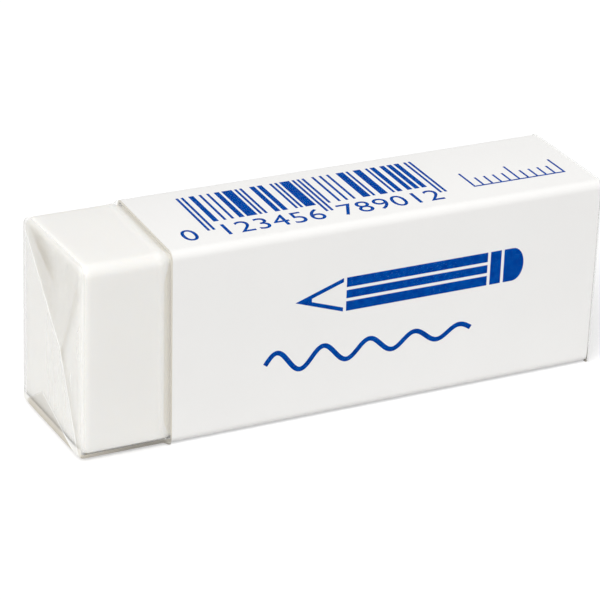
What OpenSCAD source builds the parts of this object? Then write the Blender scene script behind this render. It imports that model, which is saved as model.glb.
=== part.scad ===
// White vinyl eraser in a card sleeve, sealed in a clear film overwrap.
// X runs along the length with the bare end at -X, Y goes from front to back, Z is up.
// The origin is in the middle of the face that the wrapped eraser stands on.

/* [Eraser block] */
// Length along the back, which is the longer side
block_l = 55; // [50:0.5:80]
// Depth where the sleeve holds it, front to back
block_d = 13.2; // [10:0.1:20]
// Height where the sleeve holds it
block_h = 19; // [17:0.5:30]
// Radius of the long edges
block_edge_r = 1.1; // [0.7:0.1:1.8]
// Radius round the two cut ends
block_end_r = 1.4; // [1.1:0.1:1.6]
// How far the back of the bare end stands out past its front, as the knife left it
end_skew = 0.8; // [0:0.1:2]
// How far the soft bare end swells past the held part, on all four sides
swell = 0.15; // [0.05:0.05:0.25]
// Radius of the shoulder where the bare end is squeezed into the sleeve
shoulder_r = 0.6; // [0.4:0.1:0.9]

/* [Card sleeve] */
// Length of the sleeve, flush with the far end of the block
sleeve_l = 45.2; // [30:0.2:45.2]
// Thickness of the card
card_t = 0.25; // [0.2:0.05:0.4]
// Outside radius of the card's folds
fold_r = 0.8; // [0.6:0.05:0.9]
// Width of the glued lap inside the bottom panel
lap_w = 9; // [5:0.5:9.5]
// Step between the free edge of the bottom panel and the start of the fold beside it
lap_step = 0.1; // [0:0.1:0.5]
// Clearance between the card and the block
card_clear = 0.02; // [0.02:0.01:0.1]

/* [Film wrap] */
// Thickness of one layer of film
film_t = 0.05; // [0.04:0.01:0.1]
// Clearance between the film and what it wraps
film_clear = 0.03; // [0.02:0.01:0.1]
// Length over which the film steps down from the sleeve to the bare end
tent_l = 0.7; // [0.4:0.1:1.5]
// How much tighter the film bends round the bare end than the block is rounded there
end_tightness = 0.9; // [0.9:0.05:1]
// Width of the sealed lap seam along the back
seam_w = 5; // [3:0.5:8]
// Point where the flaps cross, from the back edge of the end
cross_u = 9.2; // [7:0.1:9.5]
// Point where the flaps cross, from the top edge of the end
cross_v = 10; // [8:0.1:12]
// Height of the tucked triangle at the bottom of the end
bottom_tuck_h = 3.4; // [2:0.1:5]
// Point of the bottom tuck, from the back edge of the end
bottom_tuck_u = 4.9; // [3:0.1:7]

/* [Hidden] */
$fn = 48;

// Layers of film on a folded end at its thickest: tuck, front flap, back flap, bottom tuck
fold_layers = 4;
// Steps in each quarter turn of the film's edges
turn_steps = 5;
// Reach of cutting shapes past what they cut
over = 1;

skew_angle = atan(end_skew / (block_d + 2 * swell));
film_skin = film_clear + film_t;
end_skin = film_clear + fold_layers * film_t;
film_end_r = block_end_r - end_tightness;

sleeve_d = block_d + 2 * card_clear + 2 * card_t;
sleeve_h = block_h + 2 * card_clear + 3 * card_t;
film_d = sleeve_d + 2 * film_skin;
film_h = sleeve_h + 2 * film_skin;

// Faces of the sleeve, of the block inside it and of the bare end that swells beside it
sleeve_front = -sleeve_d / 2;
sleeve_back = sleeve_d / 2;
sleeve_bottom = film_skin;
sleeve_far = block_l / 2;
sleeve_near = sleeve_far - sleeve_l;
block_front = sleeve_front + card_t + card_clear;
block_bottom = sleeve_bottom + 2 * card_t + card_clear;
block_near = -block_l / 2;
bare_front = block_front - swell;
bare_back = block_front + block_d + swell;
bare_d = bare_back - bare_front;
bare_bottom = block_bottom - swell;
bare_h = block_h + 2 * swell;
bare_top = bare_bottom + bare_h;

// Rectangle with round corners, its lower left corner at the origin
module round_rect(size, r) {
    translate([r, 0])
        square([size.x - 2 * r, size.y]);
    translate([0, r])
        square([size.x, size.y - 2 * r]);
    for (x = [r, size.x - r], y = [r, size.y - r])
        translate([x, y])
            circle(r);
}

// Extrusion along X of a section drawn in Y and Z
module along_x(x0, length) {
    translate([x0, 0, 0])
        rotate([90, 0, 90])
            linear_extrude(length)
                children();
}

// Extrusion along Y, right through the block, of a side view drawn in X and Z
module along_y(x0, z0) {
    translate([x0, 2 * block_d, z0])
        rotate([90, 0, 0])
            linear_extrude(4 * block_d)
                children();
}

// Plan of the bare end: slanting where it was cut, square at the sleeve, every corner an arc
module bare_plan() {
    r = block_end_r;
    out_dir = [-cos(skew_angle), -sin(skew_angle)];
    // Centre of the arc that touches the slanting end and a long side
    function arc_centre(y) =
        [block_near + (bare_back - y) * tan(skew_angle) + r / cos(skew_angle), y];
    front_c = arc_centre(bare_front + r);
    back_c = arc_centre(bare_back - r);
    mid_x = (block_near + sleeve_near) / 2;
    for (c = [front_c, back_c])
        translate(c)
            circle(r);
    polygon([
        [front_c.x, bare_front], [mid_x, bare_front], [mid_x, bare_back], [back_c.x, bare_back],
        back_c + r * out_dir, front_c + r * out_dir
    ]);
    translate([mid_x - shoulder_r, bare_front])
        round_rect([sleeve_near - mid_x + shoulder_r, bare_d], shoulder_r);
}

// Bare end: a little larger than the held part, with all its edges and rims rounded
module bare_end() {
    intersection() {
        along_x(-block_l, 2 * block_l)
            translate([bare_front, bare_bottom])
                round_rect([bare_d, bare_h], block_edge_r);
        translate([0, 0, bare_bottom - over])
            linear_extrude(bare_h + 2 * over)
                bare_plan();
        along_y(-block_l, bare_bottom)
            round_rect([block_l + sleeve_near, bare_h], shoulder_r);
        translate([block_near, bare_back, 0])
            rotate([0, 0, skew_angle])
                translate([0, -bare_back, 0])
                    along_y(0, bare_bottom)
                        round_rect([block_l, bare_h], block_end_r);
    }
}

// Held part: fits the sleeve and ends square, with a rounded rim at the far end
module held_part() {
    x0 = (block_near + sleeve_near) / 2;
    length = sleeve_far - x0;
    intersection() {
        along_x(x0, length)
            translate([block_front, block_bottom])
                round_rect([block_d, block_h], block_edge_r);
        translate([sleeve_far - 2 * length, block_front, block_bottom - over])
            linear_extrude(block_h + 2 * over)
                round_rect([2 * length, block_d], block_end_r);
        along_y(sleeve_far - 2 * length, block_bottom)
            round_rect([2 * length, block_h], block_end_r);
    }
}

// Vinyl block in one piece, swollen where the sleeve doesn't hold it
module eraser_block() {
    color("white") {
        bare_end();
        held_part();
    }
}

// Section of the card: one strip folded round, its glued lap inside the bottom panel
module sleeve_section() {
    inner_r = fold_r - card_t;
    inner_d = sleeve_d - 2 * card_t;
    difference() {
        union() {
            // Front, top, back and lap: the lap's own fold lies one card above the bottom panel
            translate([0, card_t])
                round_rect([sleeve_d, sleeve_h - card_t], fold_r);
            // Bottom panel, folded back from the front, with its free edge cut square
            intersection() {
                round_rect([sleeve_d, sleeve_h], fold_r);
                square([sleeve_d / 2, sleeve_h]);
            }
            translate([fold_r, 0])
                square([sleeve_d - 2 * fold_r - lap_step, card_t]);
        }
        // Room for the block, which bears on the lap
        translate([card_t, 2 * card_t])
            round_rect([inner_d, sleeve_h - 3 * card_t], inner_r);
        // Room in front of the lap's free edge, down to the bottom panel
        intersection() {
            translate([card_t, card_t])
                round_rect([inner_d, sleeve_h - 2 * card_t], inner_r);
            square([sleeve_d - card_t - lap_w, sleeve_h]);
        }
    }
}

// Card sleeve over the far part of the block
module card_sleeve() {
    color("whitesmoke")
        along_x(sleeve_near, sleeve_l)
            translate([sleeve_front, sleeve_bottom])
                sleeve_section();
}

// Outline of a round-cornered section as points in Y and Z, drawn in by an inset
function section_points(box, r, inset = 0) = [
    for (corner = [0:3], i = [0:turn_steps])
        let (
            a = 90 * (corner + i / turn_steps),
            left = corner == 1 || corner == 2,
            low = corner >= 2,
            cy = left ? box[0] + r : box[1] - r,
            cz = low ? box[2] + r : box[3] - r
        )
            [cy + (r - inset) * cos(a), cz + (r - inset) * sin(a)]
];

// Ring of a loft: section points at x, leaning back by a slope along Y
function ring(points, x, slope = 0, y_ref = 0) =
    [for (p = points) [x + slope * (y_ref - p.x), p.x, p.y]];

// Rings that round off the end of a section, from its face inwards, in steps of a quarter turn
function end_rings(box, r, end_r, steps, x, dir, slope = 0) = [
    for (i = [0:steps])
        let (a = 90 * (1 - i / steps))
            ring(section_points(box, r, end_r * (1 - cos(a))), x + dir * end_r * (1 - sin(a)),
                slope, box[1])
];

// Closed skin through a list of rings that all have the same number of points
module loft(rings) {
    n = len(rings[0]);
    last = (len(rings) - 1) * n;
    points = [for (r = rings) each r];
    sides = [
        for (k = [0:len(rings) - 2], i = [0:n - 1])
            let (a = k * n + i, b = k * n + (i + 1) % n)
                each [[a, a + n, b], [b, a + n, b + n]]
    ];
    near_cap = [for (i = [0:n - 1]) i];
    far_cap = [for (i = [n - 1:-1:0]) last + i];
    polyhedron(points, concat([near_cap], sides, [far_cap]));
}

// Rings of the wrap, skin outside what it wraps and cap beyond the ends. It is round over the
// soft end of the block, and bends sharply over the cut edge of the card at the far end.
function wrap_rings(skin, cap) =
    let (
        floor_z = film_skin - skin,
        sleeve_box = [sleeve_front - skin, sleeve_back + skin, floor_z, sleeve_bottom + sleeve_h + skin],
        bare_box = [bare_front - skin, bare_back + skin, floor_z, bare_top + skin],
        sleeve_r = fold_r + skin,
        bare_r = block_edge_r + skin,
        far_rings = end_rings(sleeve_box, sleeve_r, skin, 1, sleeve_far + cap, -1)
    )
        concat(
            end_rings(bare_box, bare_r, film_end_r + skin, turn_steps, block_near - cap, 1,
                tan(skew_angle)),
            [
                ring(section_points(bare_box, bare_r), sleeve_near - skin - tent_l),
                ring(section_points(sleeve_box, sleeve_r), sleeve_near - skin),
                far_rings[1],
                far_rings[0]
            ]
        );

// Seam of the film along the back, one more layer with both edges sealed down
module back_seam() {
    mid_z = film_h / 2;
    function strip(x, y) = [
        [x, y, mid_z - seam_w / 2], [x, y + 2 * film_t, mid_z - seam_w / 2],
        [x, y + 2 * film_t, mid_z + seam_w / 2], [x, y, mid_z + seam_w / 2]
    ];
    bare_y = bare_back + film_clear;
    sleeve_y = sleeve_back + film_clear;
    loft([
        strip(block_near + film_end_r, bare_y), strip(sleeve_near - film_skin - tent_l, bare_y),
        strip(sleeve_near - film_skin, sleeve_y), strip(sleeve_far - film_end_r, sleeve_y)
    ]);
}

// Cut of some layers deep into the face of an end, which lies at z = 0 here
module cut_layers(count) {
    translate([0, 0, -over])
        linear_extrude(over + count * film_t)
            children();
}

// Cuts that leave the folded layers of one end standing, drawn on the plane of its face
// in u from the back edge and v from the top edge. Full thickness stays over the bottom tuck.
module fold_cuts(width, height) {
    back_top = [0, 0];
    front_top = [width, 0];
    back_low = [0, height];
    front_low = [width, height];
    cross = [cross_u, cross_v];
    tuck_tip = [bottom_tuck_u, height - bottom_tuck_h];
    // Back flap, on top of the front flap, with its free edge from corner to corner
    cut_layers(1)
        polygon([back_top, cross, front_low, tuck_tip, back_low]);
    // Front flap, a narrow triangle along the front edge
    cut_layers(2)
        polygon([front_top, front_low, cross]);
    // Top tuck, the only layer in the triangle under the top edge
    cut_layers(3)
        polygon([back_top, front_top, cross]);
}

// Clear film: a thin tube, drawn in over the bare end and folded flat at both ends
module film_wrap() {
    bare_height = bare_top + film_skin;
    color("gainsboro", 0.3)
        difference() {
            union() {
                loft(wrap_rings(film_skin, end_skin));
                back_seam();
            }
            loft(wrap_rings(film_clear, film_clear));
            translate([block_near - end_skin, bare_back + film_skin, bare_height])
                rotate([-90, 0, skew_angle - 90])
                    fold_cuts(bare_d + 2 * film_skin, bare_height);
            translate([sleeve_far + end_skin, sleeve_back + film_skin, film_h])
                rotate([-90, 0, -90])
                    mirror([0, 0, 1])
                        fold_cuts(film_d, film_h);
        }
}

eraser_block();
card_sleeve();
film_wrap();
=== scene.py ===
# %% [markdown]
# # A wrapped eraser, finished in Blender
# A white vinyl block sits in a printed card sleeve, and clear film is folded and sealed round both.
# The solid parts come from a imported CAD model, which is loaded here as a frame that never moves.
# This lesson gives each part its finish. A part is made again as a surface only where that adds
# something: the soft shoulder of the block, the folds of the film, and the ink on the card.

# %% Load the frame
import math

import bmesh
import bpy
import numpy as np
from mathutils import Matrix, Vector


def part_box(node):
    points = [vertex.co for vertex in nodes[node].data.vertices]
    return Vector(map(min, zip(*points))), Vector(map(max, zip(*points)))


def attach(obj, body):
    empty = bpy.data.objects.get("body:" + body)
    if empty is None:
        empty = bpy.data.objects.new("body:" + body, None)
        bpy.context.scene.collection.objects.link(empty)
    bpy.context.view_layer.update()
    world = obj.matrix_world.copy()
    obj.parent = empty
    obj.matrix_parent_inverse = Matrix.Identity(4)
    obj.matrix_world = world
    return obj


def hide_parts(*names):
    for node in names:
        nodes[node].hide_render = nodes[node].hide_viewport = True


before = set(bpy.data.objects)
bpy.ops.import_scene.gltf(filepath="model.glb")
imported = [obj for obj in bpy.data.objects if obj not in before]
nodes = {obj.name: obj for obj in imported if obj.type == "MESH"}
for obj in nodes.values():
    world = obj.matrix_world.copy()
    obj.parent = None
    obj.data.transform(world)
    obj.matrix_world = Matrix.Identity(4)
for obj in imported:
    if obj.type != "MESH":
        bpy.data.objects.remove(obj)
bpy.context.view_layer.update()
print("nodes:", sorted(nodes))

# %% [markdown]
# ## Measures
# Everything below is written in millimetres, as a maker would write it, and turned into metres when
# a mesh is filled. The faces of the three parts come from the frame, so a new pack moves everything
# with it. Only sizes that a box can't tell, such as the radius of an edge, are written down here.

# %% Faces of the parts, in millimetres
MM = 0.001


def faces_of(node):
    """Low and high corner of a node in millimetres, as two arrays of X, Y and Z."""
    low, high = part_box(node)
    return np.array(low) / MM, np.array(high) / MM


block_lo, block_hi = faces_of("eraser_block")
card_lo, card_hi = faces_of("card_sleeve")
film_lo, film_hi = faces_of("film_wrap")

SWELL = 0.15
BLOCK_EDGE_R = 1.1
BLOCK_END_R = 0.9
END_SKEW = 0.8
END_TILT = 0.3
END_OUT = 0.03
FOLD_R = 0.8
FILM = 0.05
FILM_END_R = 0.6
FILM_GAP = card_lo[2] - film_lo[2] - FILM
FILM_SKIN = FILM_GAP + FILM
END_SKIN = film_hi[0] - card_hi[0]

# The frame's origin is in the middle of the block's length, so the plane of the bare end, before its
# corners are rounded off, lies as far out as the far end does and a hair more.
block_near = -block_hi[0] - END_OUT
film_near = block_near - END_SKIN
mouth = card_lo[0]
lean = END_SKEW / (block_hi[1] - block_lo[1])
rise = END_TILT / (block_hi[2] - block_lo[2]) / lean
print(f"block {block_hi - block_lo} mm, sleeve {card_hi - card_lo} mm, film {film_hi - film_lo} mm")

# %% [markdown]
# ## Round-cornered tubes
# The block and the film are both tubes with a round-cornered section and closed, rounded ends. Such
# a shape could be a bevelled box, but then its shoulder and its folds would have to be modelled by
# hand. As a surface of two parameters, one round the section and one along the length, each change
# is one more term in a formula.

# %% Outline and stations
LEAST_SPREAD = 0.02
LEAST_CORNER = 0.12


def outline_pattern(side_y, side_z, arc):
    """How each point of the outline hangs on the four corners of a section. A point belongs to a
    corner, has gone a share of the way to the next corner, and stands off in a direction. On a round
    corner the share is 0 and the direction turns by a quarter; on a side the direction is square to
    it and the share grows from 0 to 1."""
    turn = np.arange(arc) / arc
    corner, share, angle = [], [], []
    for index, count in enumerate((side_y, side_z, side_y, side_z)):
        corner.append(np.full(arc + count, index))
        share.append(np.concatenate([np.zeros(arc), np.arange(count) / count]))
        angle.append(np.concatenate([index + turn, np.full(count, index + 1.0)]))
    return np.concatenate(corner), np.concatenate(share), np.concatenate(angle) * math.pi / 2


def stations(x, box, radius, inset=0.0, skew=0.0, spread=1.0):
    """Rows that say where a section stands: x, its four sides, the radius of its corners, how far it
    is drawn in, how far it leans with Y, and the share of its full spread from its middle."""
    columns = np.broadcast_arrays(*map(np.atleast_1d, (x, *box, radius, inset, skew, spread)))
    return np.stack(columns, axis=1).astype(float)


def end_stations(x_end, inward, box, radius, end_r, skew, rings, steps):
    """A closed end. The face spreads from its middle to its rim; then a quarter turn leads to the
    side: at angle a the section is drawn in by r(1 - cos a) and lies r(1 - sin a) behind the face."""
    spread = np.linspace(LEAST_SPREAD, 1, rings)[:-1]
    a = np.linspace(math.pi / 2, 0, steps + 1)
    face = stations(x_end, box, radius, end_r, skew, spread)
    turn = stations(x_end + inward * end_r * (1 - np.sin(a)), box, radius, end_r * (1 - np.cos(a)), skew)
    return np.concatenate([face, turn])


def tube_points(rows, pattern, foot=1.0):
    """Points of a tube, as an array of stations by outline. A point is the centre of its corner,
    moved along the side by its share, plus the radius, less the inset, in its direction. It is then
    drawn to the middle by the spread, and X gets the lean times the distance from the back and a share,
    the rise, of the height. The two lower corners have a share of the radius, the foot, and every
    corner stays a little larger than its inset, so that it never closes up."""
    x, y0, y1, z0, z1, radius, inset, skew, spread = rows.T[:, :, None]
    corner, share, angle = pattern
    upper, lower = (np.maximum(r, inset + LEAST_CORNER) for r in (radius, radius * foot))
    centre_y = np.concatenate([y1 - upper, y0 + upper, y0 + lower, y1 - lower], axis=1)
    centre_z = np.concatenate([z1 - upper, z1 - upper, z0 + lower, z0 + lower], axis=1)
    following = (corner + 1) % 4
    here = np.concatenate([upper, upper, lower, lower], axis=1) - inset
    reach = here[:, corner] * (1 - share) + here[:, following] * share
    y = centre_y[:, corner] * (1 - share) + centre_y[:, following] * share + reach * np.cos(angle)
    z = centre_z[:, corner] * (1 - share) + centre_z[:, following] * share + reach * np.sin(angle)
    middle_y, middle_z = (y0 + y1) / 2, (z0 + z1) / 2
    y = middle_y + spread * (y - middle_y)
    z = middle_z + spread * (z - middle_z)
    return np.stack([x + skew * (y1 - y + rise * (z - z0)), y, z], axis=2)


# %% Meshes from arrays


def tube_faces(count, around, first=0):
    """Four-sided faces between neighbouring stations, and the two small faces that close the ends."""
    k, i = np.meshgrid(np.arange(count - 1), np.arange(around), indexing="ij")
    a = (k * around + i).ravel()
    b = (k * around + (i + 1) % around).ravel()
    quads = np.stack([a, b, b + around, a + around], axis=1) + first
    near = np.arange(around)[::-1] + first
    far = np.arange(around) + (count - 1) * around + first
    return quads, [near, far]


def mesh_piece(name, points, quads, others=(), smooth=True):
    """A mesh object from points in millimetres, an array of quads and a few faces of other sizes."""
    mesh = bpy.data.meshes.new(name)
    corners = np.concatenate([quads.ravel(), *others]).astype(np.int32)
    sizes = np.concatenate([np.full(len(quads), 4), [len(face) for face in others]]).astype(np.int32)
    mesh.vertices.add(len(points))
    mesh.vertices.foreach_set("co", (points * MM).astype(np.float32).ravel())
    mesh.loops.add(len(corners))
    mesh.loops.foreach_set("vertex_index", corners)
    mesh.polygons.add(len(sizes))
    mesh.polygons.foreach_set("loop_start", np.concatenate([[0], np.cumsum(sizes)[:-1]]).astype(np.int32))
    mesh.polygons.foreach_set("use_smooth", np.full(len(sizes), smooth))
    mesh.update(calc_edges=True)
    mesh.validate()
    piece = bpy.data.objects.new(name, mesh)
    bpy.context.scene.collection.objects.link(piece)
    print(f"{name}: {len(points)} points, {len(sizes)} faces")
    return piece


def smooth_step(value, low, high):
    """0 below low, 1 above high, and 3t^2 - 2t^3 in between."""
    t = np.clip((value - low) / (high - low), 0, 1)
    return t * t * (3 - 2 * t)


# %% [markdown]
# ## The vinyl block
# The block was cut a little out of square, so its bare end leans: the back stands out further than
# the front, and the foot further than the top. Vinyl is soft. Where the card grips it the block is
# squeezed in, and beside the card's edge it curls down into a shallow groove. In the solid that is a
# plain rounded shoulder. Here it is a smooth dip in the inset of the section, which is what catches
# the soft shadow beside the card. The bare end also hangs a little clear of the film below it, and
# its lower edges are sharper than the upper ones.

# %% Make the block
GROOVE_DEPTH = 0.2
GROOVE_WIDTH = 0.45
SHOULDER = 1.1
FOOT = 0.35
HANG = 0.2
FACE_RINGS, TURN_STEPS = 8, 10
BARE_STEPS, NECK_STEPS, HELD_STEPS = 6, 40, 11

full_box = np.array([block_lo[1], block_hi[1], block_lo[2], block_hi[2]])
held_box = full_box + SWELL * np.array([1, -1, 1, -1])
bare_box = full_box + HANG * np.array([0, 0, 1, 0])


def block_rows():
    """Stations of the block: leaning end, bare part, groove beside the card, held part, far end. The
    section goes from the bare to the held size by a smooth step, and the groove draws it in further
    by a bell curve round the card's edge."""
    near = end_stations(block_near, 1, bare_box, BLOCK_EDGE_R, BLOCK_END_R, lean, FACE_RINGS, TURN_STEPS)
    far = end_stations(block_hi[0], -1, held_box, BLOCK_EDGE_R, BLOCK_END_R, 0, FACE_RINGS, TURN_STEPS)[::-1]
    start, stop = block_near + BLOCK_END_R, mouth - 2 * SHOULDER
    t = np.linspace(0, 1, BARE_STEPS + 1)[1:]
    bare = stations(start + (stop - start) * t, bare_box, BLOCK_EDGE_R, 0, lean * (1 - t))
    x = np.linspace(mouth - 2 * SHOULDER, mouth + 2 * SHOULDER, NECK_STEPS + 1)[1:]
    held = smooth_step(x, mouth - SHOULDER, mouth)[:, None]
    box = (bare_box * (1 - held) + held_box * held).T
    groove = GROOVE_DEPTH * np.exp(-(((x - mouth - GROOVE_WIDTH / 3) / GROOVE_WIDTH) ** 2))
    neck = stations(x, box, BLOCK_EDGE_R, groove)
    covered = np.linspace(x[-1], block_hi[0] - BLOCK_END_R, HELD_STEPS + 1)[1:-1]
    inside = stations(covered, held_box, BLOCK_EDGE_R)
    return np.concatenate([near, bare, neck, inside, far])


block_pattern = outline_pattern(side_y=24, side_z=34, arc=9)
block_points = tube_points(block_rows(), block_pattern, FOOT)
quads, ends = tube_faces(*block_points.shape[:2])
vinyl_block = mesh_piece("vinyl_block", block_points.reshape(-1, 3), quads, ends)
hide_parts("eraser_block")

# %% [markdown]
# ## Ink on the card
# The print is a layer of ink about a hundredth of a millimetre thick, so it lies in the small gap
# between the card and the film. It could be a pattern in the card's material, but thin solid shapes
# keep their edges sharp at any distance and go out with the model. The design is plain: a pencil and
# a wavy line on the front, and a bar code with sample digits and a short scale on top.

# %% Flat shapes in ink
INK_LOW = 0.002
INK_HIGH = 0.012

front_place = Matrix(((1, 0, 0, mouth), (0, 0, -1, card_lo[1]), (0, 1, 0, 0), (0, 0, 0, 1)))
top_place = Matrix(((1, 0, 0, mouth), (0, 1, 0, 0), (0, 0, 1, card_hi[2]), (0, 0, 0, 1)))


def placed(points, place):
    """Points of a flat drawing, with their height over the card, put on a face of the sleeve."""
    turned = np.array(place.to_3x3())
    return points @ turned.T + np.array(place.translation)


def ink_shapes(name, outlines, place):
    """Each outline, anticlockwise, becomes a thin prism: its points at two heights, a face below and
    one above, and one four-sided face along each edge."""
    points, quads, others, first = [], [], [], 0
    for outline in outlines:
        count = len(outline)
        low = np.column_stack([outline, np.full(count, INK_LOW)])
        high = np.column_stack([outline, np.full(count, INK_HIGH)])
        i = np.arange(count)
        j = (i + 1) % count
        points += [low, high]
        quads.append(np.stack([i, j, j + count, i + count], axis=1) + first)
        others += [i[::-1] + first, i + count + first]
        first += 2 * count
    flat = np.concatenate(points)
    return mesh_piece(name, placed(flat, place), np.concatenate(quads), others, smooth=False)


def bar(x0, x1, y0, y1):
    """Corners of an upright rectangle."""
    return np.array([[x0, y0], [x1, y0], [x1, y1], [x0, y1]], float)


def ribbon(line, width):
    """A band of one width along a line: each point stands half the width to either side of it."""
    along = np.gradient(line, axis=0)
    along /= np.linalg.norm(along, axis=1)[:, None]
    aside = np.stack([-along[:, 1], along[:, 0]], axis=1) * width / 2
    return np.concatenate([line - aside, (line + aside)[::-1]])


# %% Bar code with sample digits
MODULE = 0.264
CODE_X = 4.97
BAR_BACK = 4.5
BAR_FRONT = -1.7
GUARD_FRONT = -3.4
SAMPLE_DIGITS = "0123456789012"
DIGIT_WIDTHS = ("3211", "2221", "2122", "1411", "1132", "1231", "1114", "1312", "1213", "3112")
GUARD, CENTRE_GUARD = "111", "11111"
HALF_CODE = 6
DIGIT_MODULES = 7


def bar_code_bars():
    """Bars of a thirteen-digit retail code. Dark and light take turns, and each digit is four widths
    that add up to seven modules. The first digit, 0, has no bars of its own."""
    left, right = ("".join(DIGIT_WIDTHS[int(d)] for d in half) for half in
                   (SAMPLE_DIGITS[1:HALF_CODE + 1], SAMPLE_DIGITS[HALF_CODE + 1:]))
    widths = np.array([int(w) for w in GUARD + left + CENTRE_GUARD + right + GUARD])
    edges = np.concatenate([[0], np.cumsum(widths)])
    starts, stops = edges[:-1:2], edges[1::2]
    centre = len(GUARD) + HALF_CODE * DIGIT_MODULES
    last_guard = edges[-1] - len(GUARD)
    outlines = []
    for start, stop in zip(starts, stops):
        in_centre = centre <= start < centre + len(CENTRE_GUARD)
        guard = stop <= len(GUARD) or start >= last_guard or in_centre
        low = GUARD_FRONT if guard else BAR_FRONT
        outlines.append(bar(CODE_X + start * MODULE, CODE_X + stop * MODULE, low, BAR_BACK))
    return outlines


bar_code = ink_shapes("bar_code", bar_code_bars(), top_place)

# %% Digits under the bars
DIGIT_FOOT = -4.9
DIGIT_SIZE = 3.45
LEAD_X = 3.0
CURVE_STEPS = 4
WELD = 1e-5


def digit_centres():
    """Middle of each digit: the first stands left of the bars, the others under their seven modules."""
    steps = (np.arange(HALF_CODE) + 0.5) * DIGIT_MODULES
    left = CODE_X + (len(GUARD) + steps) * MODULE
    right = left + (HALF_CODE * DIGIT_MODULES + len(CENTRE_GUARD)) * MODULE
    return np.concatenate([[LEAD_X], left, right])


def text_mesh(text):
    """Points and faces of one plain digit, flat, a millimetre to the unit, as one closed mesh."""
    curve = bpy.data.curves.new("digit", "FONT")
    curve.body = text
    curve.size = DIGIT_SIZE
    curve.align_x = "CENTER"
    curve.resolution_u = CURVE_STEPS
    curve.extrude = (INK_HIGH - INK_LOW) / 2
    writer = bpy.data.objects.new("digit", curve)
    bpy.context.scene.collection.objects.link(writer)
    mesh = bpy.data.meshes.new_from_object(writer.evaluated_get(bpy.context.evaluated_depsgraph_get()))
    bpy.data.objects.remove(writer)
    shape = bmesh.new()
    shape.from_mesh(mesh)
    bmesh.ops.remove_doubles(shape, verts=shape.verts, dist=WELD)
    bmesh.ops.triangulate(shape, faces=shape.faces)
    shape.to_mesh(mesh)
    shape.free()
    points = np.empty(len(mesh.vertices) * 3, np.float32)
    mesh.vertices.foreach_get("co", points)
    faces = np.empty(len(mesh.polygons) * 3, np.int32)
    mesh.polygons.foreach_get("vertices", faces)
    bpy.data.meshes.remove(mesh)
    return points.reshape(-1, 3).astype(float), faces.reshape(-1, 3)


def digit_row():
    """All digits as one piece: each one's points are moved to its centre, foot and height."""
    points, faces, first = [], [], 0
    middle = (INK_HIGH + INK_LOW) / 2
    for text, x in zip(SAMPLE_DIGITS, digit_centres()):
        shape, sides = text_mesh(text)
        points.append(shape + np.array([x, DIGIT_FOOT, middle]))
        faces.append(sides + first)
        first += len(shape)
    flat = placed(np.concatenate(points), top_place)
    return mesh_piece("code_digits", flat, np.empty((0, 4), int), list(np.concatenate(faces)), smooth=False)


code_digits = digit_row()

# %% Short scale at the far end of the top
SCALE_X = 33.0
SCALE_FOOT = -3.2
SCALE_STEPS = 10
LONG_EVERY = 5
LONG_MARK, SHORT_MARK = 3.2, 1.8
TICK = 0.22
MARK_CLEAR = 0.02


def scale_marks():
    """Ten steps of a millimetre: a base line, long marks at 0, 5 and 10, and short ones between."""
    outlines = [bar(SCALE_X, SCALE_X + SCALE_STEPS + TICK, SCALE_FOOT - TICK, SCALE_FOOT)]
    for x in SCALE_X + np.arange(SCALE_STEPS + 1):
        height = SHORT_MARK if (x - SCALE_X) % LONG_EVERY else LONG_MARK
        outlines.append(bar(x, x + TICK, SCALE_FOOT + MARK_CLEAR, SCALE_FOOT + height))
    return outlines


short_scale = ink_shapes("short_scale", scale_marks(), top_place)

# %% Pencil and wavy line on the front
PENCIL_TIP = np.array([12.5, 12.6])
PENCIL_HALF = 1.75
CONE = 5.0
BODY = 15.5
STRIPES, STRIPE_GAP = 3, 0.32
LEAD_SHARE = 0.34
STROKE = 0.42
RING = 1.5
CAP_FLAT, CAP_ROUND, CAP_POINTS = 1.0, 1.2, 17
WAVE_START = np.array([9.5, 6.6])
WAVE_LENGTH = 22.0
WAVE_COUNT = 4.5
WAVE_HEIGHT, WAVE_LOSS = 1.15, 0.55
WAVE_BAND = 0.5
WAVE_POINTS = 121


def pencil_outlines():
    """A pencil seen from the side, pointing left: a dark point, two strokes for the edges of the
    cone, three stripes for the faces of its barrel, a ring and a round end."""
    x, z = PENCIL_TIP
    shoulder, back = x + CONE, x + CONE + BODY
    lead_x, lead_half = x + CONE * LEAD_SHARE, PENCIL_HALF * LEAD_SHARE
    point = np.array([[x, z], [lead_x, z - lead_half], [lead_x, z + lead_half]])
    strokes = []
    for side in (1, -1):
        line = np.array([[lead_x, z + side * lead_half], [shoulder, z + side * PENCIL_HALF]])
        inner = line - np.array([0, side * STROKE])
        stroke = np.concatenate([line, inner[::-1]])
        strokes.append(stroke[::-side])
    edges = np.linspace(-PENCIL_HALF, PENCIL_HALF, STRIPES + 1) + z
    stripes = [
        bar(shoulder + STRIPE_GAP, back,
            low + STRIPE_GAP / 2 * (k > 0), high - STRIPE_GAP / 2 * (k < STRIPES - 1))
        for k, (low, high) in enumerate(zip(edges[:-1], edges[1:]))
    ]
    ring = bar(back + STRIPE_GAP, back + RING, z - PENCIL_HALF, z + PENCIL_HALF)
    a = np.radians(np.linspace(-90, 90, CAP_POINTS))
    cap_x = back + RING + STRIPE_GAP
    cap = np.column_stack([cap_x + CAP_FLAT + CAP_ROUND * np.cos(a), z + PENCIL_HALF * np.sin(a)])
    cap = np.concatenate([cap, [[cap_x, z + PENCIL_HALF], [cap_x, z - PENCIL_HALF]]])
    return [point, *strokes, *stripes, ring, cap]


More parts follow.
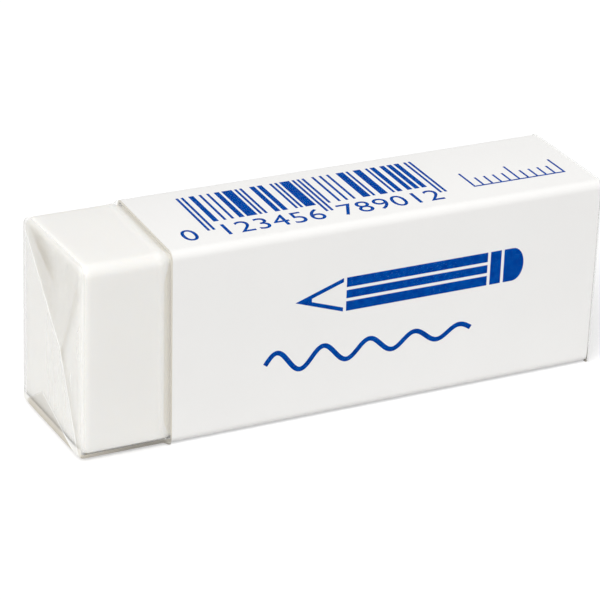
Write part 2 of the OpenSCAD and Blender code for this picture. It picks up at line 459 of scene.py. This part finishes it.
def wave_outline():
    """A band along a sine wave that grows flatter towards the right."""
    t = np.linspace(0, 1, WAVE_POINTS)
    height = WAVE_HEIGHT * (1 - WAVE_LOSS * t) * np.sin(2 * math.pi * WAVE_COUNT * t)
    return ribbon(WAVE_START + np.column_stack([WAVE_LENGTH * t, height]), WAVE_BAND)


pencil_sign = ink_shapes("pencil_sign", pencil_outlines(), front_place)
wavy_line = ink_shapes("wavy_line", [wave_outline()], front_place)

# %% [markdown]
# ## The clear film
# The film is one thin sheet: a tube with a sealed seam along the back, folded flat at both ends like
# a parcel. First the top is tucked in, then the front flap and the back flap are laid over each
# other, and last the bottom is tucked up. Loose flaps would each need their own two walls, and many
# clear walls in a row make a picture dark and slow. So the layers are one wall, and the number of
# layers under each point only moves the face in or out.

# %% Folds of an end
CROSS = (9.2, 10.0)
TUCK_TIP_UP = 3.4
TUCK_TIP_IN = 4.9
FOLD_SOFT = 0.12


def fold_corners(width, height):
    """The three triangles of a folded end, in mm from its back edge and from its top edge."""
    back_top, front_top = (0, 0), (width, 0)
    back_low, front_low = (0, height), (width, height)
    tip = (TUCK_TIP_IN, height - TUCK_TIP_UP)
    return {
        "top_tuck": (back_top, front_top, CROSS),
        "front_flap": (front_top, front_low, CROSS),
        "bottom_tuck": (back_low, tip, front_low),
    }


def side_of(u, v, start, stop):
    """Distance of a point from a line, positive on the right-hand side going from start to stop with
    v pointing down: the cross product of the line's direction with the way from start to the point."""
    length = np.hypot(stop[0] - start[0], stop[1] - start[1])
    du, dv = (stop[0] - start[0]) / length, (stop[1] - start[1]) / length
    return (v - start[1]) * du - (u - start[0]) * dv


def triangle_edges(u, v, corners):
    """Distances of a point from the three edges of a triangle, all positive inside it."""
    a, b, c = corners
    return side_of(u, v, a, b), side_of(u, v, b, c), side_of(u, v, c, a)


def fold_depth(u, v, width, height):
    """How far the face lies under the thickest part of the folds. The back flap lies one layer down,
    the front flap two and the top tuck three, and the bottom tuck is on top of all. The soft edge of
    each triangle is a smooth step across its edges."""
    inside = {}
    for name, corners in fold_corners(width, height).items():
        least = np.minimum.reduce(triangle_edges(u, v, corners))
        inside[name] = smooth_step(least, -FOLD_SOFT, FOLD_SOFT)
    layers = 1 + 2 * inside["top_tuck"] + inside["front_flap"] - inside["bottom_tuck"]
    return FILM * np.clip(layers, 0, 3)


# %% Make the film
TENT = 0.7
SEAM_WIDTH = 5.0
SEAM_SOFT = 0.1
FILM_FOOT = 0.5
FILM_LIFT = 0.2
NEAR_TURN, FAR_TURN = 6, 3
BARE_SHARES = np.array([0.02, *np.linspace(0.05, 1, 12)])
TENT_SHARES = np.linspace(0, 1, 9)[1:]
SLEEVE_SHARES = np.array([0.004, 0.02, *np.linspace(0.06, 0.94, 18), 0.98, 0.996])
FACES_BACK = 0.999
FLUSH = 0.01


def wrap_rows(skin, x_near, x_far, rings):
    """Stations of the wrap, a skin outside what it wraps: leaning end, bare part, the step up to the
    card's edge, the sleeve, and the far end with its sharp bend. Stations stand close together beside
    a bend, so that the shading of the bend doesn't spread over the flat parts."""
    bottom = card_lo[2] - skin
    bare = np.array([block_lo[1] - skin, block_hi[1] + skin, bottom + FILM_LIFT, block_hi[2] + skin])
    card = np.array([card_lo[1] - skin, card_hi[1] + skin, bottom, card_hi[2] + skin])
    bare_r, card_r = BLOCK_EDGE_R + skin, FOLD_R + skin
    end_r = FILM_END_R + skin
    near = end_stations(x_near, 1, bare, bare_r, end_r, lean, rings, NEAR_TURN)
    far = end_stations(x_far, -1, card, card_r, skin, 0, rings, FAR_TURN)[::-1]
    start, stop = x_near + end_r, mouth - skin - TENT
    along = stations(start + (stop - start) * BARE_SHARES, bare, bare_r, 0, lean * (1 - BARE_SHARES))
    step = smooth_step(TENT_SHARES, 0, 1)
    box = (bare * (1 - step[:, None]) + card * step[:, None]).T
    tent = stations(stop + TENT * TENT_SHARES, box, bare_r * (1 - step) + card_r * step)
    first, last = mouth - skin, x_far - skin
    sleeve = stations(first + (last - first) * SLEEVE_SHARES, card, card_r)
    return np.concatenate([near, along, tent, sleeve, far])


def film_points(rings, pattern):
    """The outer wall. The tube gets the folds of both ends, which push each face in by their depth
    and fade out round the rim, and the seam, a band of one more layer along the middle of the back."""
    rows = wrap_rows(FILM_SKIN, film_near, film_hi[0], rings)
    points = tube_points(rows, pattern, FILM_FOOT)
    x, y, z = points[:, :, 0], points[:, :, 1], points[:, :, 2]
    _, y0, y1, _, z1, _, inset, _, _ = rows.T[:, :, None]
    depth = fold_depth(y1 - y, z1 - z, y1 - y0, z1 - film_lo[2])
    at_near = (rows[:, 0] < mouth)[:, None]
    rim_r = np.where(at_near, FILM_END_R + FILM_SKIN, FILM_SKIN)
    x += np.where(at_near, 1, -1) * depth * np.clip(inset / rim_r, 0, 1)
    off_seam = np.abs(z - film_hi[2] / 2) - SEAM_WIDTH / 2
    on_back = (np.cos(pattern[2]) > FACES_BACK)[None, :] & (inset < FLUSH)
    y += np.where(on_back, FILM * (1 - smooth_step(off_seam, -SEAM_SOFT, SEAM_SOFT)), 0)
    return points


outer = film_points(rings=64, pattern=outline_pattern(side_y=66, side_z=96, arc=8))
inner_rows = wrap_rows(FILM_GAP, block_near - FILM_GAP, block_hi[0] + FILM_GAP, rings=6)
inner = tube_points(inner_rows, outline_pattern(side_y=12, side_z=16, arc=6), FILM_FOOT)
outer_quads, outer_ends = tube_faces(*outer.shape[:2])
inner_quads, inner_ends = tube_faces(*inner.shape[:2], first=outer.shape[0] * outer.shape[1])
clear_film = mesh_piece(
    "clear_film",
    np.concatenate([outer.reshape(-1, 3), inner.reshape(-1, 3)]),
    np.concatenate([outer_quads, inner_quads[:, ::-1]]),
    [*outer_ends, *(face[::-1] for face in inner_ends)],
)
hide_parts("film_wrap")

# %% [markdown]
# ## Writing materials as sums
# A material is a tree of nodes. Written out node by node it is hard to read, so one small class
# stands for a socket: adding or multiplying two of them adds the Math node that does it. Every other
# node comes from one method, which sets the node's options first and then its inputs.

# %% The socket class


class Wire:
    """A socket in a material's node tree that can be used in a sum."""

    __array_ufunc__ = None  # lets numpy's own numbers stand on the left of a sum

    def __init__(self, tree, socket):
        self.tree = tree
        self.socket = socket

    @classmethod
    def node(cls, tree, kind, settings=None, inputs=None, output=0):
        """A new node of a kind, with its settings made first, then its inputs set or linked."""
        made = tree.nodes.new("ShaderNode" + kind)
        for name, value in (settings or {}).items():
            setattr(made, name, value)
        for name, value in (inputs or {}).items():
            if isinstance(value, Wire):
                tree.links.new(value.socket, made.inputs[name])
            else:
                made.inputs[name].default_value = value
        return cls(tree, made.outputs[output])

    def math(self, operation, first, second):
        return Wire.node(self.tree, "Math", {"operation": operation}, {0: first, 1: second})

    def __add__(self, other):
        return self.math("ADD", self, other)

    def __radd__(self, other):
        return self.math("ADD", other, self)

    def __sub__(self, other):
        return self.math("SUBTRACT", self, other)

    def __rsub__(self, other):
        return self.math("SUBTRACT", other, self)

    def __mul__(self, other):
        return self.math("MULTIPLY", self, other)

    def __rmul__(self, other):
        return self.math("MULTIPLY", other, self)

    def __pow__(self, other):
        return self.math("POWER", self, other)

    def least(self, other):
        return self.math("MINIMUM", self, other)

    def size(self):
        return self.math("ABSOLUTE", self, 0.0)

    def between(self, low, high):
        """A smooth step from 0 at low to 1 at high."""
        return Wire.node(self.tree, "MapRange", {"interpolation_type": "SMOOTHSTEP"},
                         {"Value": self, "From Min": low, "From Max": high})


# %% Helpers that every material uses


def srgb(red, green, blue):
    """A colour as a screen shows it, from 0 to 255, turned into the linear values that light adds in."""
    share = np.array([red, green, blue]) / 255
    linear = np.where(share <= 0.04045, share / 12.92, ((share + 0.055) / 1.055) ** 2.4)
    return (*linear.tolist(), 1.0)


def new_material(name):
    material = bpy.data.materials.new(name)
    material.use_nodes = True
    material.node_tree.nodes.clear()
    return material, material.node_tree


def position_mm(tree):
    """X, Y and Z of the surface in millimetres, in the piece's own coordinates."""
    place = Wire.node(tree, "TexCoord", output="Object")
    split = Wire.node(tree, "SeparateXYZ", inputs={"Vector": place}).socket.node
    return place, [Wire(tree, split.outputs[axis]) * (1 / MM) for axis in "XYZ"]


def noise(tree, place, size_mm, detail=2.0):
    """Soft noise from 0 to 1 whose blotches are about size_mm across."""
    return Wire.node(tree, "TexNoise", inputs={
        "Vector": place, "Scale": 1 / (size_mm * MM), "Detail": detail})


def blend(tree, factor, first, second):
    """One colour turning into another as the factor goes from 0 to 1."""
    return Wire.node(tree, "Mix", {"data_type": "RGBA"}, {0: factor, 6: first, 7: second}, output=2)


def bump(tree, height_mm):
    """Normals for a surface that rises and falls by a height in millimetres."""
    return Wire.node(tree, "Bump", inputs={"Height": height_mm, "Distance": MM, "Strength": 1.0})


CROWN = 0.006


def crown(y):
    """The soft block pushes the wide top out a little: a height that falls with the square of Y."""
    return y * y * -CROWN


def finish_with(material, shader):
    """Send a shader to the material's output, and say how many nodes the material took."""
    tree = material.node_tree
    out = tree.nodes.new("ShaderNodeOutputMaterial")
    tree.links.new(shader.socket, out.inputs["Surface"])
    print(f"{material.name}: {len(tree.nodes)} nodes")


# %% [markdown]
# ## White vinyl
# Soft vinyl is a warm white with a dull sheen. A little light enters it and comes out again beside
# where it went in, so its edges glow and its shadows stay warm. Faint blotches and a fine grain keep
# it from looking like plaster. In the groove beside the card, the shade that falls there is painted
# on as a creamier colour, in a strip that is narrower on top and runs out at the corners.

# %% Make the vinyl
STRIP, STRIP_EDGE = 0.7, (-0.1, 0.06)
STRIP_CORNER, STRIP_TOP, TOP_LOSS = (0.7, 0.98), (0.9, 1.0), 0.6
GROOVE_SHADE_SHARE = 0.75
GRAIN_HEIGHT = 0.004
VINYL_DARK, VINYL_LIGHT = srgb(243, 241, 237), srgb(247, 246, 242)
PAINTED_GROOVE_SHADE = srgb(231, 225, 211)


def vinyl_material():
    material, tree = new_material("white_vinyl")
    place, (x, y, z) = position_mm(tree)
    blotch = noise(tree, place, size_mm=6.0)
    grain = noise(tree, place, size_mm=0.25, detail=3.0)
    across, up = (y * (1 / block_hi[1])).size(), (z * (2 / block_hi[2]) - 1).size()
    strip = STRIP * (1 - across.least(up).between(*STRIP_CORNER)) * (1 - TOP_LOSS * up.between(*STRIP_TOP))
    # A creamier colour is painted on beside the card's edge, as the shade that falls in the groove there.
    groove = (x - mouth + strip).between(*STRIP_EDGE)
    colour = blend(tree, blotch, VINYL_DARK, VINYL_LIGHT)
    colour = blend(tree, groove * GROOVE_SHADE_SHARE, colour, PAINTED_GROOVE_SHADE)
    finish_with(material, Wire.node(tree, "BsdfPrincipled", {}, {
        "Base Color": colour,
        "Roughness": 0.42 + 0.12 * blotch,
        "Subsurface Weight": 0.2,
        "Subsurface Radius": (1.0, 0.9, 0.75),
        "Subsurface Scale": 0.6 * MM,
        "Normal": bump(tree, grain * GRAIN_HEIGHT + crown(y)),
    }))
    return material


vinyl_block.data.materials.append(vinyl_material())

# %% [markdown]
# ## White card
# The sleeve is smooth coated card. It is whiter and cooler than the vinyl, with a faint fibre under
# the coating. Its cut edge beside the bare end is pulp, so it is darker and rougher than the face.

# %% Make the card
CARD_DARK, CARD_LIGHT = srgb(245, 244, 242), srgb(249, 248, 246)
PULP = srgb(208, 202, 189)
CUT_WIDTH = 0.06
PULP_SHARE = 0.95
FIBRE_HEIGHT = 0.003


def card_material():
    material, tree = new_material("coated_card")
    place, (x, y, _) = position_mm(tree)
    fibre = noise(tree, place, size_mm=0.35, detail=4.0)
    cloud = noise(tree, place, size_mm=9.0)
    cut = 1 - (x - mouth).between(0.0, CUT_WIDTH)
    colour = blend(tree, cloud, CARD_DARK, CARD_LIGHT)
    colour = blend(tree, cut * PULP_SHARE, colour, PULP)
    finish_with(material, Wire.node(tree, "BsdfPrincipled", {}, {
        "Base Color": colour,
        "Roughness": 0.36 + 0.1 * fibre + 0.3 * cut,
        "Normal": bump(tree, fibre * FIBRE_HEIGHT + crown(y)),
    }))
    return material


sleeve = nodes["card_sleeve"]
sleeve.data.materials.clear()
sleeve.data.materials.append(card_material())

# %% [markdown]
# ## Blue ink
# Offset ink on coated card is strong and even, but not perfectly so: large fields are a little
# mottled. Two close blues mixed by a fine noise give that. The gloss over the print is the film's, so
# the ink has none of its own.

# %% Make the ink
INK_DARK, INK_LIGHT = srgb(0, 60, 150), srgb(1, 78, 171)
MOTTLE = (0.3, 0.7)


def ink_material():
    material, tree = new_material("blue_ink")
    place, _ = position_mm(tree)
    mottle = noise(tree, place, size_mm=0.5, detail=3.0)
    finish_with(material, Wire.node(tree, "BsdfPrincipled", {}, {
        "Base Color": blend(tree, mottle.between(*MOTTLE), INK_DARK, INK_LIGHT),
        "Roughness": 0.4 + 0.1 * mottle,
        "Specular IOR Level": 0.0,
    }))
    return material


ink = ink_material()
ink_pieces = [bar_code, code_digits, short_scale, pencil_sign, wavy_line]
for piece in ink_pieces:
    piece.data.materials.append(ink)

# %% [markdown]
# ## Clear film
# Film is almost invisible. What shows is its gloss, which grows towards a grazing view, and a slight
# milkiness where several layers lie on each other. A closed solid of glass would bend and darken what
# is inside, so the film is a Transparent shader with a share of mirror and a share of haze mixed in.
# The share of mirror follows the facing ratio, because that works on both sides of a wall.
#
# Haze also keeps light from what lies behind it, so a wall that is half hazy comes out darker than a
# clear one or a dense one. Where the film should look milky and no darker, the rays that test for
# shadow pass through its haze. Below the bare block the haze is dense and coloured as a painted shade
# of the gap, which goes from beige at the end to grey beside the card. On the ends the haze also
# carries painted shade in the folds, a greyer painted shade on the rim round the bare end, and a
# painted highlight along the free edges of the flaps.
#
# A pair of numbers in brackets below is the start and the stop of a smooth step, in millimetres. Only
# the crease is given by two points, each measured from the back edge and from the top edge.

# %% Where the ends are
END_DEPTH = (0.15, 0.35)
RIM_DEPTH = (0.35, 0.68)
FAR_DEPTH = (0.16, 0.2)
FAR_EDGE = (0.05, 0.25)


def end_face(x, y, z):
    """Masks of the two flat ends and of the rim round the bare one, U from the back edge and V from the
    top edge, and the width and height that these run over. A point is on an end where it lies close
    behind its plane, and at the far end also a little inside its edges. The far end is a bit larger
    than the bare one, so its U and V are drawn down to that size, and one pattern serves both."""
    half, top = block_hi[1] + FILM_SKIN, block_hi[2] + FILM_SKIN
    at_far = x.math("GREATER_THAN", x, 0.0)
    narrow, low = half / (card_hi[1] + FILM_SKIN) - 1, top / (card_hi[2] + FILM_SKIN) - 1
    u = half - y * (1 + at_far * narrow)
    v = top - z * (1 + at_far * low)
    behind = x - film_near - lean * (half - y + rise * (z - FILM_LIFT))
    near = 1 - behind.between(*END_DEPTH)
    rim = behind.between(*END_DEPTH) * (1 - behind.between(*RIM_DEPTH))
    off_edge = u.between(*FAR_EDGE) * (2 * half - u).between(*FAR_EDGE) * v.between(*FAR_EDGE)
    far = (1 - (film_hi[0] - x).between(*FAR_DEPTH)) * off_edge
    return near + far, rim, u, v, 2 * half, top


# %% Painted shade and painted highlight of the folds
HAZE_EDGE = 0.06
CREASE = ((0.3, 0.0), (CROSS[0] - 2.2, CROSS[1] * 0.38))
VALLEY_IN, VALLEY_OUT = (-3.0, -0.3), (-0.1, 0.15)
VALLEY_START, VALLEY_STOP = (0.6, 4.5), (5.5, 9.0)
FLAP_SHADE, FLAP_TOP, FLAP_FOOT = (0.1, 1.5), (1.0, 3.0), (0.0, 1.0)
TUCK_FOOT, TUCK_CORNER = (2.4, 0.6), (1.0, 2.2)
GLEAM_IN, GLEAM_OUT = (-0.3, -0.06), (-0.06, 0.03)
GLEAM_START, GLEAM_STOP = (0.5, 2.0), 2.0
JOIN = 0.5
TOP_TUCK_TONE, VALLEY_TONE, VALLEY_FADE = 0.3, 0.55, 0.7
FLAP_TONE, UNDER_TONE = 0.1, 0.4
LOW_TUCK_TONE, LOW_FOOT_TONE = 0.5, 0.45


def fold_tones(u, v, width, height):
    """Painted shade and painted highlight of the folded layers, each from 0 to 1. The tucks get painted
    shade, most along the crease of the top tuck and at the foot of the bottom tuck. The front flap gets
    painted shade, most beside the two edges where other layers lie over it, and the free edges get a
    painted highlight."""
    shape = fold_corners(width, height)
    edges = {name: triangle_edges(u, v, corners) for name, corners in shape.items()}
    inside = {name: first.least(second).least(third).between(-HAZE_EDGE, HAZE_EDGE)
              for name, (first, second, third) in edges.items()}
    crease = side_of(u, v, *CREASE)
    valley = crease.between(*VALLEY_IN) * (1 - VALLEY_FADE * crease.between(*VALLEY_OUT))
    valley = valley * u.between(*VALLEY_START) * (1 - u.between(*VALLEY_STOP))
    _, lower_edge, flap_edge = edges["front_flap"]
    beside = (1 - flap_edge.between(*FLAP_SHADE)) * v.between(*FLAP_TOP)
    below = 1 - lower_edge.between(*FLAP_FOOT)
    foot = v.between(height - TUCK_FOOT[0], height - TUCK_FOOT[1])
    shade = (inside["top_tuck"] * (TOP_TUCK_TONE + VALLEY_TONE * valley)
             + inside["front_flap"] * (FLAP_TONE + UNDER_TONE * beside + UNDER_TONE * below)
             + inside["bottom_tuck"] * (LOW_TUCK_TONE + LOW_FOOT_TONE * foot) * u.between(*TUCK_CORNER))
    free_edges = [edges["top_tuck"][2], lower_edge, edges["bottom_tuck"][1]]
    upper, lower, tuck = (edge.between(*GLEAM_IN) * (1 - edge.between(*GLEAM_OUT)) for edge in free_edges)
    past_cross = v.between(CROSS[1] - JOIN, CROSS[1])
    gleam = (upper * v.between(*GLEAM_START) * (1 - past_cross)
             + lower * past_cross * (1 - v.between(height - GLEAM_STOP, height)))
    gleam = gleam * (1 - inside["bottom_tuck"]) + tuck * u.between(TUCK_TIP_IN, TUCK_TIP_IN + JOIN)
    return shade, gleam


# %% Make the film's finish
MILK, SHADED = srgb(248, 248, 246), srgb(196, 188, 172)
PAINTED_RIM_SHADE, PAINTED_GLEAM = srgb(224, 223, 220), srgb(250, 250, 248)
FOOT_LIGHT, FOOT_FRONT, GAP_GREY = srgb(238, 235, 228), srgb(218, 211, 198), srgb(165, 160, 149)
WHITE = srgb(255, 255, 255)
STREAK_LEAN, STREAK_SIZE, STREAK_STRETCH = -24.0, 2.4, 0.25
STREAK_LOW, STREAK_HIGH = 0.4, 0.8
STREAK_HEIGHT, END_HEIGHT = 0.004, 0.006
CARD_SIDE, STEP_FADE = (-0.15, 0.0), (-1.8, -0.3)
PANEL_TOP, GAP_TOP, FOOT_TOP = (0.07, 0.13), (0.76, 0.9), (1.15, 1.6)
GAP_LENGTH, FRONT_EDGE, FAR_RIM = (0.5, 7.0), (0.6, 0.2), (0.0, 0.05)
RIM_SHADE_BACK, RIM_SHADE_TOP = (0.5, 2.0), (0.8, 1.8)
END_HAZE, SHADE_HAZE, GLEAM_HAZE, WRINKLE_HAZE = 0.24, 0.34, 0.3, 0.08
FOOT_HAZE, PANEL_HAZE, GAP_HAZE = 0.76, 0.9, 0.8
STEP_HAZE, RIM_HAZE, FAR_HAZE = 0.22, 0.5, 0.35
RIM_SHADOW, FOOT_TINT = 0.5, 0.5
LEAST_MIRROR, GRAZING_MIRROR, END_MIRROR = 0.0015, 0.05, 0.015


def bare_zones(x, z, on_end):
    """Masks of the film round the bare block, apart from its end: the bottom panel, all that lies below
    the block's lower edge, and the step up to the card. The first two carry the painted shade of the
    gap under the block."""
    before_card = 1 - (x - mouth).between(*CARD_SIDE)
    bare = before_card * (1 - on_end)
    panel = bare * (1 - (z - FILM_LIFT).between(*PANEL_TOP))
    below = bare * (1 - z.between(*GAP_TOP))
    step = (x - mouth).between(*STEP_FADE) * before_card * (1 - below)
    return panel, below, step


def with_gloss(tree, under, roughness, more=0.0, **normal):
    """A shader with a share of mirror over it. The share grows with the fifth power of the facing ratio,
    as a clear surface's does, and may get more."""
    facing = Wire.node(tree, "LayerWeight", inputs={"Blend": 0.5, **normal}, output="Facing")
    gloss = Wire.node(tree, "BsdfPrincipled", {}, {
        "Base Color": WHITE, "Metallic": 1.0, "Roughness": roughness, **normal})
    mirror = LEAST_MIRROR + GRAZING_MIRROR * facing ** 5.0 + more
    return Wire.node(tree, "MixShader", inputs={0: mirror, 1: under, 2: gloss})


def film_material():
    material, tree = new_material("clear_film")
    place, (x, y, z) = position_mm(tree)
    slanted = Wire.node(tree, "Mapping", inputs={
        "Vector": place, "Rotation": (math.radians(STREAK_LEAN), 0, 0), "Scale": (1, 1, STREAK_STRETCH)})
    streak = noise(tree, slanted, STREAK_SIZE, detail=1.0)
    on_end, rim, u, v, width, height = end_face(x, y, z)
    folds, free_edges = fold_tones(u, v, width, height)
    tones = (folds, free_edges, streak.between(STREAK_LOW, STREAK_HIGH))
    shade, gleam, wrinkle = (tone * on_end for tone in tones)
    panel, below, step = bare_zones(x, z, on_end)
    foot = on_end * (1 - z.between(*FOOT_TOP))
    lit = 1 - Wire.node(tree, "LightPath", output="Is Shadow Ray")
    # Besides the film's own milkiness, the haze carries painted shade in the folds and in the gap below the
    # block, and a painted highlight along the free edges of the flaps.
    haze = (END_HAZE * on_end + SHADE_HAZE * shade + GLEAM_HAZE * gleam + WRINKLE_HAZE * wrinkle
            + FOOT_HAZE * foot + PANEL_HAZE * panel + STEP_HAZE * step * lit
            + FAR_HAZE * (x - card_hi[0]).between(*FAR_RIM)
            + RIM_HAZE * rim * (1 - below) * (RIM_SHADOW + (1 - RIM_SHADOW) * lit)
            + GAP_HAZE * (below - panel) * lit)
    # The haze's colour is white milk, with painted shade in the folds, a greyer painted shade on the rim
    # round the bare end, and a painted highlight along the free edges of the flaps.
    rim_shade = rim * (1 - u.between(*RIM_SHADE_BACK) * v.between(*RIM_SHADE_TOP))
    milk_and_shade_colour = blend(tree, shade, MILK, SHADED)
    milk_and_shade_colour = blend(tree, rim_shade, milk_and_shade_colour, PAINTED_RIM_SHADE)
    milk_and_shade_colour = blend(tree, gleam, milk_and_shade_colour, PAINTED_GLEAM)
    # The gap below the bare block and the foot of its end get a painted shade: following the folds at the
    # end, beige at its front edge, and grey further along beside the card.
    at_front = u.between(width - FRONT_EDGE[0], width - FRONT_EDGE[1])
    gap_shade_colour = blend(tree, folds, FOOT_LIGHT, SHADED)
    gap_shade_colour = blend(tree, at_front, gap_shade_colour, FOOT_FRONT)
    gap_shade_colour = blend(tree, (x - film_near).between(*GAP_LENGTH), gap_shade_colour, GAP_GREY)
    in_gap = below + FOOT_TINT * foot * (1 - shade - gleam)
    clear = Wire.node(tree, "BsdfTransparent")
    milk = Wire.node(tree, "BsdfPrincipled", {}, {
        "Base Color": blend(tree, in_gap, milk_and_shade_colour, gap_shade_colour),
        "Roughness": 0.5,
    })
    hazy = Wire.node(tree, "MixShader", inputs={0: haze, 1: clear, 2: milk})
    shape = bump(tree, streak * (STREAK_HEIGHT + END_HEIGHT * on_end))
    film = with_gloss(tree, hazy, roughness=0.09, more=END_MIRROR * on_end, Normal=shape)
    finish_with(material, film)
    return material


def inner_wall_material():
    """The inside of the film, which only adds its share of gloss."""
    material, tree = new_material("clear_film_inside")
    clear = Wire.node(tree, "BsdfTransparent")
    finish_with(material, with_gloss(tree, clear, roughness=0.12))
    return material


# The outer wall takes the first finish and the inner wall the second. The last four faces close the
# two ends of each.
for finish in (film_material(), inner_wall_material()):
    clear_film.data.materials.append(finish)
wall = np.concatenate([np.zeros(len(outer_quads)), np.ones(len(inner_quads)), [0, 0, 1, 1]])
clear_film.data.polygons.foreach_set("material_index", wall.astype(np.int32))

# %% [markdown]
# ## Floor and light
# The eraser stands on a white floor in a bright, even studio. Most light comes from all round, and a
# wide soft lamp from the upper left makes the top the brightest face and lights up the rounded edges
# between the faces. The floor gets a little light of its own for the eye alone, so that it reads as
# white without more light on the eraser, and it keeps the shadow.

# %% Floor
FLOOR_SIZE = 3000.0
FLOOR_DROP = 0.02
FLOOR_BOUNCE = srgb(211, 211, 211)
FLOOR_DARK, FLOOR_LIGHT = srgb(202, 202, 202), srgb(204, 204, 204)
FLOOR_GLOW = 0.48


def seen_directly(tree):
    """1 for rays that come from the camera, a mirror or clear material, and 0 for light in the room."""
    path = Wire.node(tree, "LightPath").socket.node
    rays = [Wire(tree, path.outputs[f"Is {kind} Ray"]) for kind in ("Camera", "Glossy", "Transmission")]
    return rays[0].math("MAXIMUM", rays[0].math("MAXIMUM", rays[0], rays[1]), rays[2])


def floor_material():
    material, tree = new_material("white_floor")
    place, _ = position_mm(tree)
    paper = noise(tree, place, size_mm=40.0)
    seen = seen_directly(tree)
    white = blend(tree, paper, FLOOR_DARK, FLOOR_LIGHT)
    card = Wire.node(tree, "BsdfPrincipled", {}, {
        "Base Color": blend(tree, seen, FLOOR_BOUNCE, white),
        "Roughness": 0.9,
        "Specular IOR Level": 0.1,
    })
    glow = Wire.node(tree, "Emission", {}, {"Strength": seen * FLOOR_GLOW})
    finish_with(material, Wire.node(tree, "AddShader", inputs={0: card, 1: glow}))
    return material


half = FLOOR_SIZE / 2
floor_corners = np.column_stack([bar(-half, half, -half, half), np.full(4, -FLOOR_DROP)])
floor = mesh_piece("floor", floor_corners, np.array([[0, 1, 2, 3]]), smooth=False)
floor.data.materials.append(floor_material())

# %% World and lamps
ROOM_LIGHT = 0.55
KEY_LIGHT = 2.35
KEY_SPREAD = 50.0
KEY_FROM = Vector((-0.53, -0.43, 0.73))

world = bpy.data.worlds.new("studio")
bpy.context.scene.world = world
world.use_nodes = True
world.node_tree.nodes.clear()
seen = seen_directly(world.node_tree)
back = Wire.node(world.node_tree, "Background", inputs={"Strength": ROOM_LIGHT + (1 - ROOM_LIGHT) * seen})
world_out = world.node_tree.nodes.new("ShaderNodeOutputWorld")
world.node_tree.links.new(back.socket, world_out.inputs["Surface"])

key = bpy.data.lights.new("key", "SUN")
key.energy = KEY_LIGHT
key.angle = math.radians(KEY_SPREAD)
key_lamp = bpy.data.objects.new("key", key)
key_lamp.rotation_euler = KEY_FROM.to_track_quat("Z", "Y").to_euler()
bpy.context.scene.collection.objects.link(key_lamp)
print(f"key lamp {KEY_LIGHT} over {KEY_SPREAD} degrees, room {ROOM_LIGHT}")

# %% [markdown]
# ## Camera
# The camera looks down at the bare end from the left with a long lens, which keeps the edges of the
# sleeve almost parallel. Its place is given as a photographer would: a point to aim at, the angle
# round it, the angle above it, the distance, and a small tilt of the camera itself.

# %% Place the camera
AIM = Vector((-4.782, -6.95, 12.917))
AZIMUTH = -25.73
ELEVATION = 25.78
DISTANCE = 237.2
ROLL = 1.67
LENS = 151.8
SENSOR = 36.0
NEAREST = 10.0

turn_round, look_down = math.radians(AZIMUTH), math.radians(ELEVATION)
away = Vector((math.sin(turn_round) * math.cos(look_down), -math.cos(turn_round) * math.cos(look_down),
               math.sin(look_down)))
lens = bpy.data.cameras.new("camera")
lens.lens = LENS
lens.sensor_width = SENSOR
lens.clip_start = NEAREST * MM
camera = bpy.data.objects.new("camera", lens)
upright = away.to_track_quat("Z", "Y").to_matrix().to_4x4()
tilt = Matrix.Rotation(math.radians(ROLL), 4, "Z")
camera.matrix_world = Matrix.Translation((AIM + away * DISTANCE) * MM) @ upright @ tilt
bpy.context.scene.collection.objects.link(camera)
bpy.context.scene.camera = camera
bpy.context.scene.view_settings.view_transform = "Standard"
print("camera at", [round(c / MM, 2) for c in camera.matrix_world.translation], "mm")

# %% [markdown]
# ## Riding on the body
# Every new piece rides on the one body of the eraser.

# %% Ride on the body
for piece, slot in [(vinyl_block, "vinyl"), (clear_film, "film"), *((piece, "card") for piece in ink_pieces)]:
    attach(piece, "root")
